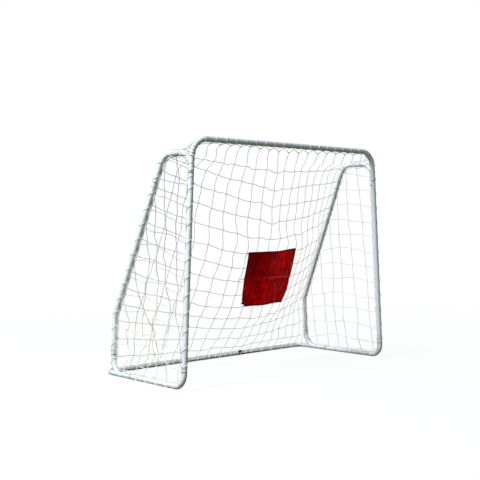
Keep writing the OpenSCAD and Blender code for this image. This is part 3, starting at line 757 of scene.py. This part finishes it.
STRANDS = 7
WRAP_CREEP = 0.0035  # how far a turn moves along its tube in half a turn
strands = []
for side in (-1, 1):
    for k in range(STRANDS):
        share = np.linspace(0, 1, 60)
        u = 0.062 + 0.011 * k
        low = side_point(u, ARCH_W + TUBE_R + TWINE_R, 0.004 * (k % 3) - 0.004, side)
        turn = radians(28 + 9 * k)
        outer = CORNER_R + TUBE_R + 0.002
        high = np.array([side * (bar_half + outer * sin(turn)), POST_Y + 0.004 + 0.002 * (k % 2),
                         CROSSBAR_Z - CORNER_R + outer * cos(turn)])
        path = low + (high - low) * share[:, None]
        bow = np.sin(pi * share)[:, None]
        path += bow * np.array([side * 0.003, 0.004, -0.010 - 0.003 * (k % 3)])
        path += (bow * np.sin(2 * pi * (2.3 + 0.2 * k) * share + k)[:, None]) * (0.0022, 0.0016, 0.0020)
        strands.append(sweep(path, (0.3, 0.2, 1), TWINE_R))
        # Each end is caught in a little over one turn round its tube
        around = np.linspace(0, 2.15 * pi, 40)[:, None]
        creep = WRAP_CREEP * around / pi
        reach = TUBE_R + TWINE_R
        centre = np.array([side * (bar_half + CORNER_R * sin(turn)), POST_Y,
                           CROSSBAR_Z - CORNER_R + CORNER_R * cos(turn)])
        out = np.array([side * sin(turn), 0, cos(turn)])
        along = np.cross(out, (0, 1, 0))
        round_tube = np.cos(around) * out + np.sin(around) * np.array([0, 1, 0])
        wrap = centre + reach * round_tube + creep * along
        strands.append(sweep(wrap, along, TWINE_R))
        wrap = side_point(u + creep[:, 0], ARCH_W + reach * np.cos(around[:, 0]),
                          reach * np.sin(around[:, 0]), side)
        strands.append(sweep(wrap, (0, 1, 0), TWINE_R))
make_piece("gathered_corners", strands, NET_TWINE)

# ---- Weld beads ----
# The arch and the heel bend are welded to the tube that each grows from. The bead lies where the two
# round tubes meet, rises a little and falls with each drop of metal, and is under the same paint.


def bead(radius, centre_u, centre_w, upward, side):
    """Where a bend meets a straight tube: cos(phi) = (radius - set - r |cos t|) / (radius + r cos t)."""
    t = np.linspace(0, 2 * pi, 120)
    reach = radius + TUBE_R * np.cos(t)
    phi = np.arccos(np.clip((radius - BEND_SET - TUBE_R * np.abs(np.cos(t))) / reach, -1, 1))
    along_tube, out_of_tube = reach * np.sin(phi), radius - BEND_SET - reach * np.cos(phi)
    if upward:
        path = side_point(out_of_tube, centre_w + along_tube, -TUBE_R * np.sin(t), side)
        centre = side_point(0.02, centre_w + 0.05, 0, side)
    else:
        path = side_point(centre_u + along_tube, out_of_tube, -TUBE_R * np.sin(t), side)
        centre = side_point(centre_u + 0.05, 0.02, 0, side)
    drops = 0.0016 + 0.00035 * np.sin(t * 34)
    return sweep(path, path - centre, drops)


beads = []
for side in (-1, 1):
    beads.append(bead(ARCH_R, 0, ARCH_W - ARCH_R, True, side))
    beads.append(bead(HEEL_R, LEG_DEPTH - HEEL_R, 0, False, side))
make_piece("weld_beads", beads, white_paint)

# ---- Joint lines ----
# Where two tubes meet, the outer one stops 2 mm short of the shoulder of the swaged end. A near-black ring of
# painted shade lies in that groove and over its two lips, so every joint shows as a dark line round the tube.

GROOVE, FOOT_STUB = 0.002, 0.008
leg_joint_w = CROSSBAR_W - 0.182
side_joints = (
    ((0, CROSSBAR_W - 0.152), (0, -1)),
    ((LEG_DEPTH - (leg_joint_w - KNEE_HEIGHT) * tan(REAR_SLOPE), leg_joint_w),
     (sin(REAR_SLOPE), -cos(REAR_SLOPE))),
    ((0, FOOT_R + FOOT_STUB), (0, 1)), ((LEG_DEPTH, HEEL_W + FOOT_STUB), (0, 1)), ((0.400, 0), (1, 0)))
centres, frames = [np.array([0, POST_Y, CROSSBAR_Z])], [np.array([[0, 0, 1.0], [1, 0, 0], [0, 1, 0]])]
for side in (-1, 1):
    for (u, w), (along_u, along_w) in side_joints:
        start = side_point(u, w, 0, side)
        heading = side_point(u + along_u, w + along_w, 0, side) - start
        inward = side_point(u, w, 1, side) - start
        centres.append(start + heading * GROOVE / 2)
        frames.append(np.stack([inward, np.cross(heading, inward), heading], -1))
RING_TURN, RING_SECTION = 40, 8
around, across = np.meshgrid(2 * pi * np.arange(RING_TURN) / RING_TURN,
                             2 * pi * np.arange(RING_SECTION) / RING_SECTION, indexing="ij")
rise = TUBE_R - 0.0001 + 0.00045 * np.sin(across)
ring = np.stack([rise * np.cos(around), rise * np.sin(around), 0.0019 * np.cos(across)], -1).reshape(-1, 3)
ring_faces = ring_quads(RING_TURN, RING_SECTION, closed=True)[:, [0, 3, 2, 1]]


def groove_shade_finish():
    """Painted shade for the joint grooves: near black, broken up by noise towards the colour of dry dust."""
    finish, add, link, shader, place = start_finish("joint_groove_shade")
    dust = between(add, link, noise(add, link, place.outputs["Object"], 500, 4), 0.5, 0.75)
    link(blend_colours(add, link, dust, (0.025, 0.026, 0.022, 1), (0.12, 0.115, 0.09, 1)),
         shader.inputs["Base Color"])
    shader.inputs["Roughness"].default_value = 0.75
    return finish


rings = scatter(ring, ring_faces, np.array(frames), np.array(centres))
make_piece("joint_lines", [rings], groove_shade_finish())

# ---- Cloth target ----
# A panel of dark red satin weave with a stitched hem, sewn with blind loops to the net. It was folded in
# four for packing, so a cross of creases shows, and it hangs askew with one corner dragged up by its tie.

CLOTH_WIDTH, CLOTH_LENGTH = 0.330, 0.310
HEM = 0.009
middle_curve = net_place(0.0, np.linspace(0, ROWS, 400))


def net_depth(z):
    """Depth of the flat part of the net at height z."""
    return np.interp(z, middle_curve[::-1, 2], middle_curve[::-1, 1])


def cloth_place(a, b):
    """Middle of the cloth, with a across and b down, both from 0 to 1. Its sides and its slope are worked
    out from a few heights, and ripples, bulges and crossed creases add to its distance from the net."""
    a, b = np.broadcast_arrays(np.asarray(a, float), np.asarray(b, float))
    p, q = a * CLOTH_WIDTH, (1 - b) * CLOTH_LENGTH
    ear = np.maximum(0, 1 - (p + 0.7 * q) / 0.026)
    steps = (0, 0.25, 0.5, 0.75, 1)
    left = np.interp(b, steps, (-0.146, -0.137, -0.128, -0.111, -0.084))
    right = np.interp(b, steps, (0.178, 0.189, 0.196, 0.200, 0.192))
    x = left + (right - left) * a
    z_left = np.interp(b, steps, (0.588, 0.522, 0.454, 0.383, 0.306))
    z_right = np.interp(b, steps, (0.590, 0.519, 0.445, 0.379, 0.314))
    z = z_left + (z_right - z_left) * a + 0.011 * ramp(a, 0.60, 1.0) * (1 - ramp(b, 0, 0.5))
    z = z + 0.003 * np.sin(3 * pi * a) * ramp(b, 0.6, 1) + 0.022 * ear
    x = x - 0.022 * ear
    spread = a + 0.05 * (a - 0.6) * b + 0.012 * np.sin(7 * b + 5 * a)
    fine = 0.0015 * np.sin(2 * pi * (8.3 * spread + 0.35 * np.sin(2 * pi * 2.1 * spread))) * (
        0.2 + 0.8 * ramp(a, 0.35, 0.7))
    broad = 0.0018 * np.sin(2 * pi * (3.6 * a - 0.35 * b) + 0.8)
    bulge = 0.014 * np.exp(-((a - 0.42 + 0.35 * (b - 0.75)) / 0.14) ** 2 - ((b - 0.80) / 0.17) ** 2)
    ridge = 0.0035 * np.maximum(0, 1 - np.abs(a - 0.52 - 0.03 * np.sin(7 * b)) / 0.055)
    crease = 0.0040 * np.maximum(0, 1 - np.abs(b - 0.50 + 0.02 * np.sin(5 * a)) / 0.06)
    stand = (0.0125 + 0.014 * b ** 2 + 0.010 * np.sin(0.8 * pi * ear) + bulge + ridge
             - crease * (0.4 + 0.6 * a) + (fine + broad) * ramp(np.minimum(b, 1 - b), -0.06, 0.12))
    return np.stack([x, net_depth(z) - stand, z], -1)


def cloth_normal(a, b):
    """Unit normal of the cloth towards the player, from its slopes across and down."""
    step = 0.002
    over = cloth_place(a + step, b) - cloth_place(a - step, b)
    down = cloth_place(a, b + step) - cloth_place(a, b - step)
    normal = np.cross(over, down)
    normal /= np.linalg.norm(normal, axis=-1, keepdims=True)
    return normal * -np.sign(normal[..., 1:2])


def distance_from(add, link, value, level):
    """How far a value is from a level: |value - level|."""
    return arithmetic(add, link, "ABSOLUTE", arithmetic(add, link, "SUBTRACT", value, level), 0.0)


def cloth_finish():
    """Satin weave: streaks of painted light and shade that run down the cloth, brighter patches of painted
    light, painted shade over the upper left, painted highlights on ripples and creases, a darker hem, and
    threads 0.9 mm apart.
    """
    finish, add, link, shader, place = start_finish("target_satin")
    flat = place.outputs["UV"]
    stretch = add("ShaderNodeMapping")
    stretch.inputs["Scale"].default_value = (7.0, 1.0, 1.0)
    stretch.inputs["Location"].default_value = (3.0, 1.0, 0.0)
    link(flat, stretch.inputs["Vector"])
    # Streaks of painted light and shade run down the cloth
    streaks = between(add, link, noise(add, link, stretch.outputs[0], 11, 4), 0.38, 0.64)
    # Broad brighter patches are painted light
    patches = between(add, link, noise(add, link, flat, 14, 2), 0.50, 0.68)
    shade = blend_colours(add, link, streaks, (0.40, 0.0005, 0.014, 1), (0.66, 0.002, 0.016, 1))
    shade = blend_colours(add, link, patches, shade, (0.80, 0.0005, 0.003, 1))
    split = add("ShaderNodeSeparateXYZ")
    link(flat, split.inputs[0])
    along, down = split.outputs["X"], split.outputs["Y"]
    right_half = between(add, link, along, 0.34 * CLOTH_WIDTH, 0.62 * CLOTH_WIDTH)
    # The upper left quarter is darkened by painted shade
    upper_left = arithmetic(add, link, "MULTIPLY", arithmetic(add, link, "SUBTRACT", 1.0, right_half),
                            between(add, link, down, 0.36 * CLOTH_LENGTH, 0.60 * CLOTH_LENGTH))
    shade = blend_colours(add, link, arithmetic(add, link, "MULTIPLY", upper_left, 0.46), shade,
                          (0.20, 0.0005, 0.010, 1))
    # Pale greyish streaks on the right half are a painted sheen on the satin's ripples
    sheen_streaks = arithmetic(add, link, "MULTIPLY", right_half, between(
        add, link, noise(add, link, stretch.outputs[0], 15, 3), 0.44, 0.64, 0.0, 0.85))
    shade = blend_colours(add, link, sheen_streaks, shade, (0.62, 0.10, 0.12, 1))
    # Lighter lines along both creases are painted highlights on the folds
    rise = arithmetic(add, link, "MULTIPLY", along, 0.06)
    off_crease = distance_from(add, link, arithmetic(add, link, "SUBTRACT", down, rise), 0.475 * CLOTH_LENGTH)
    crease = arithmetic(add, link, "MULTIPLY", between(add, link, off_crease, 0.0015, 0.0055, 1.0, 0.0),
                        between(add, link, right_half, 0, 1, 0.05, 0.9))
    shade = blend_colours(add, link, crease, shade, (0.62, 0.16, 0.24, 1))
    off_crease = distance_from(add, link, along, 0.53 * CLOTH_WIDTH)
    crease = between(add, link, off_crease, 0.001, 0.004, 0.45, 0.0)
    shade = blend_colours(add, link, crease, shade, (0.55, 0.05, 0.07, 1))
    margins = []
    for axis, extent in (("X", CLOTH_WIDTH), ("Y", CLOTH_LENGTH)):
        half = extent / 2
        off = distance_from(add, link, split.outputs[axis], half)
        margins.append(between(add, link, off, half - HEM, half - HEM + 0.001))
    hem = arithmetic(add, link, "MAXIMUM", *margins)
    through = add("ShaderNodeBsdfTranslucent")
    link(shade, through.inputs["Color"])
    thin = add("ShaderNodeMixShader")
    link(between(add, link, hem, 0, 1, 0.66, 0.30), thin.inputs["Fac"])
    link(shader.outputs[0], thin.inputs[1])
    link(through.outputs[0], thin.inputs[2])
    link(thin.outputs[0], finish.node_tree.get_output_node("ALL").inputs["Surface"])
    hem_shade = arithmetic(add, link, "MULTIPLY", hem, 0.7)
    link(blend_colours(add, link, hem_shade, shade, (0.09, 0.0005, 0.004, 1)), shader.inputs["Base Color"])
    threads = [arithmetic(add, link, "SINE", arithmetic(add, link, "MULTIPLY", split.outputs[axis],
                                                        2 * pi / pitch), 0.0)
               for axis, pitch in (("X", 0.0009), ("Y", 0.0013))]
    weave = between(add, link, arithmetic(add, link, "ADD", *threads), -2, 2)
    shader.inputs["Roughness"].default_value = 0.55
    shader.inputs["Specular IOR Level"].default_value = 0.22
    raise_surface(add, link, shader, weave, 0.00012)
    return finish


GRID_A, GRID_B = 121, 113
a, b = np.meshgrid(np.linspace(0, 1, GRID_A), np.linspace(0, 1, GRID_B))
cloth_middle = cloth_place(a, b)
cloth_out = cloth_normal(np.clip(a, 0.004, 0.996), np.clip(b, 0.004, 0.996))
to_edge = np.minimum(np.minimum(a, 1 - a) * CLOTH_WIDTH, np.minimum(b, 1 - b) * CLOTH_LENGTH)
half_thickness = (0.0004 + 0.0005 * (1 - ramp(to_edge, HEM - 0.001, HEM)))[..., None]
cloth_front = (cloth_middle + cloth_out * half_thickness).reshape(-1, 3)
cloth_back = (cloth_middle - cloth_out * half_thickness).reshape(-1, 3)
index = np.arange(GRID_A * GRID_B).reshape(GRID_B, GRID_A)
face = np.stack([index[:-1, :-1], index[1:, :-1], index[1:, 1:], index[:-1, 1:]], -1).reshape(-1, 4)
total = GRID_A * GRID_B
border = np.concatenate([index[0, :-1], index[:-1, -1], index[-1, :0:-1], index[:0:-1, 0]])
after = np.roll(border, -1)
rim = np.stack([border, after, after + total, border + total], -1)
flat_uv = np.stack([a * CLOTH_WIDTH, (1 - b) * CLOTH_LENGTH], -1).reshape(-1, 2)
groups = [face, face[:, ::-1] + total, rim]
target = make_piece("target_cloth", [(np.concatenate([cloth_front, cloth_back]), groups,
                                      [flat_uv[group.ravel() % total] for group in groups])], cloth_finish())

# Stitches of the hem: 3 mm long, 5 mm apart, on both faces
STITCH_ROUND = 6
STITCH_RISE = 0.0009
lengths = np.array([-1.0, -0.6, 0.0, 0.6, 1.0])
girths = np.sqrt(np.maximum(0, 1 - lengths ** 2)) * 0.9 + 0.1
turn = 2 * pi * np.arange(STITCH_ROUND) / STITCH_ROUND
stitch = np.stack([0.0016 * lengths[:, None] + 0 * turn, 0.00028 * girths[:, None] * np.cos(turn),
                   0.00024 * girths[:, None] * np.sin(turn)], -1).reshape(-1, 3)
stitch_faces = ring_quads(len(lengths), STITCH_ROUND)
spots = []
inset_a, inset_b = (HEM - 0.0015) / CLOTH_WIDTH, (HEM - 0.0015) / CLOTH_LENGTH
for count, start, end in ((62, (inset_a, inset_b), (1 - inset_a, inset_b)),
                          (56, (inset_a, 1 - 0.12), (inset_a, inset_b)),
                          (62, (1 - inset_a, 1 - inset_b), (0.12, 1 - inset_b)),
                          (58, (1 - inset_a, inset_b), (1 - inset_a, 1 - inset_b))):
    share = (np.arange(count) + 0.5)[:, None] / count
    spots.append(np.concatenate([np.array([start]) * (1 - share) + np.array([end]) * share,
                                 np.repeat([np.subtract(end, start) / count], count, 0)], 1))
spots = np.concatenate(spots)
ahead = spots[:, 2:] * 0.3
along_hem = cloth_place(*(spots[:, :2] + ahead).T) - cloth_place(*(spots[:, :2] - ahead).T)
along_hem /= np.linalg.norm(along_hem, axis=1, keepdims=True)
out = cloth_normal(spots[:, 0], spots[:, 1])
beside = np.cross(out, along_hem)
frames = np.stack([along_hem, beside, out], -1)
middle = cloth_place(spots[:, 0], spots[:, 1])


def thread_finish():
    """Sewing thread: twisted red polyester, a little lighter than the cloth."""
    finish, add, link, shader, place = start_finish("sewing_thread")
    fleck = between(add, link, noise(add, link, place.outputs["Object"], 900, 2), 0.4, 0.6)
    link(blend_colours(add, link, fleck, (0.42, 0.012, 0.020, 1), (0.60, 0.030, 0.040, 1)),
         shader.inputs["Base Color"])
    shader.inputs["Roughness"].default_value = 0.5
    return finish


hem_stitches = make_piece("hem_stitches", [
    scatter(stitch, stitch_faces, frames, middle + out * STITCH_RISE),
    scatter(stitch, stitch_faces, frames, middle - out * STITCH_RISE)], thread_finish())

# Each tie is a small loop of cord drawn round a twine of the net and caught into the back of the cloth
TIE_R = 0.0008
ties = []
for column, b_here in ((-2, 0.035), (-2, 0.50), (-1, 0.93), (2, 0.035), (2, 0.50), (2, 0.95)):
    upright = net_place(column / HALF_COLUMNS, np.linspace(3, 12, 900))
    level = np.interp(b_here, (0, 0.5, 1), (0.590, 0.452, 0.310))
    knot = upright[np.argmin(np.abs(upright[:, 2] - level))]
    left, right = cloth_place(0.0, b_here)[0], cloth_place(1.0, b_here)[0]
    sewn = cloth_place(np.clip((knot[0] - left) / (right - left), 0.035, 0.965), b_here) + (0, 0.0009, 0)
    out = (knot - sewn) * (1, 1, 0)
    gap = np.linalg.norm(out)
    out, t = out / gap, np.linspace(0, 2 * pi, 49)
    across = np.array([-out[1], out[0], 0])
    half = (gap + TWINE_R + 0.0012) / 2
    loop = (sewn + out * half + half * (np.sign(np.cos(t)) * np.abs(np.cos(t)) ** 0.6)[:, None] * out
            + 0.0026 * (np.sign(np.sin(t)) * np.abs(np.sin(t)) ** 0.6)[:, None] * across)
    loop[:, 2] += 0.001 * np.sin(t)
    ties.append(sweep(loop, (0, 0, 1), TIE_R))
    for way in (-1, 1):
        share = np.linspace(0, 1, 12)[:, None]
        tail = sewn + out * (2 * half + 0.0006) + across * way * (0.001 + 0.008 * share) + out * 0.004 * share
        ties.append(sweep(tail - np.array([0, 0, 0.014]) * share ** 2, (0, 0, 1), TIE_R))
target_ties = make_piece("cloth_ties", ties, LACE)
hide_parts("target_patch")
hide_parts("target_ties")

# ---- Small fittings ----
# The ground bar's two connectors are moulded in black plastic, and push over the ends of its three
# tubes. The spring buttons that lock every other joint are pressed from steel and plated with zinc.


def plastic_finish():
    """Moulded plastic: near black, with a fine spark-eroded grain and pale scuffs."""
    finish, add, link, shader, place = start_finish("black_moulding")
    here = place.outputs["Object"]
    scuffs = between(add, link, noise(add, link, here, 210, 6), 0.60, 0.70)
    link(blend_colours(add, link, scuffs, (0.018, 0.018, 0.019, 1), (0.09, 0.09, 0.088, 1)),
         shader.inputs["Base Color"])
    link(between(add, link, scuffs, 0, 1, 0.42, 0.62), shader.inputs["Roughness"])
    raise_surface(add, link, shader, noise(add, link, here, 1500, 3), 0.00012)
    return finish


def steel_finish(name, colour, tint, roughness):
    """Steel: a metal whose colour drifts to a tint in patches, with fine drawn scratches along X."""
    finish, add, link, shader, place = start_finish(name)
    here = place.outputs["Object"]
    shader.inputs["Metallic"].default_value = 1.0
    patches = between(add, link, noise(add, link, here, 300, 4), 0.35, 0.70)
    link(blend_colours(add, link, patches, colour, tint), shader.inputs["Base Color"])
    link(between(add, link, patches, 0, 1, roughness, roughness + 0.12), shader.inputs["Roughness"])
    drawn = add("ShaderNodeMapping")
    drawn.inputs["Scale"].default_value = (0.08, 1.0, 1.0)
    link(here, drawn.inputs["Vector"])
    raise_surface(add, link, shader, noise(add, link, drawn.outputs[0], 2600, 2), 0.00005)
    return finish


moulding = plastic_finish()
zinc = steel_finish("zinc_plate", (0.62, 0.63, 0.64, 1), (0.52, 0.50, 0.44, 1), 0.28)
buttons = [name for name in node if name.startswith("button_") and name != "button_springs"]
for name in buttons:
    put_finish(node[name], zinc)
for name in ("bar_connector_left", "bar_connector_right"):
    put_finish(node[name], moulding)

# ---- Leaf springs ----
# Behind each button a strip of spring steel is bent double inside the swaged end. One leaf bears on the
# wall of the tube and the other on the button, so the strip closes up as its button is pressed in.

spring_steel = steel_finish("spring_steel", (0.38, 0.38, 0.40, 1), (0.24, 0.26, 0.32, 1), 0.36)
strips = node["button_springs"].data
strips.calc_loop_triangles()
strip_places = np.empty(len(strips.vertices) * 3)
strips.vertices.foreach_get("co", strip_places)
strip_faces = np.empty(len(strips.loop_triangles) * 3, int)
strips.loop_triangles.foreach_get("vertices", strip_faces)
strip_places, merged = np.unique(strip_places.reshape(-1, 3).round(7), axis=0, return_inverse=True)
strip_faces = merged.ravel()[strip_faces].reshape(-1, 3)
face_centres = strip_places[strip_faces].mean(axis=1)
button_corners = np.array([[corner[:] for corner in node[name].bound_box] for name in buttons])
button_centres = button_corners.mean(axis=1)
nearest = np.argmin(np.linalg.norm(face_centres[:, None] - button_centres[None], axis=2), axis=1)
for k, name in enumerate(buttons):
    used, faces = np.unique(strip_faces[nearest == k], return_inverse=True)
    faces, places = faces.reshape(-1, 3), strip_places[used]
    side = -1 if name.endswith("left") else 1
    press = (side_point(0, 0, 0, side) - side_point(0, 0, 1, side)) * side
    press = np.array([0, -1.0, 0]) if name == "button_crossbar" else press
    strip = make_piece(name.replace("button", "leaf_spring"),
                       [(places, [faces], [np.zeros((faces.size, 2))])], spring_steel, body=None)
    strip.data.polygons.foreach_set("use_smooth", np.zeros(len(faces), bool))
    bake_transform(strip)
    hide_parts("button_springs")
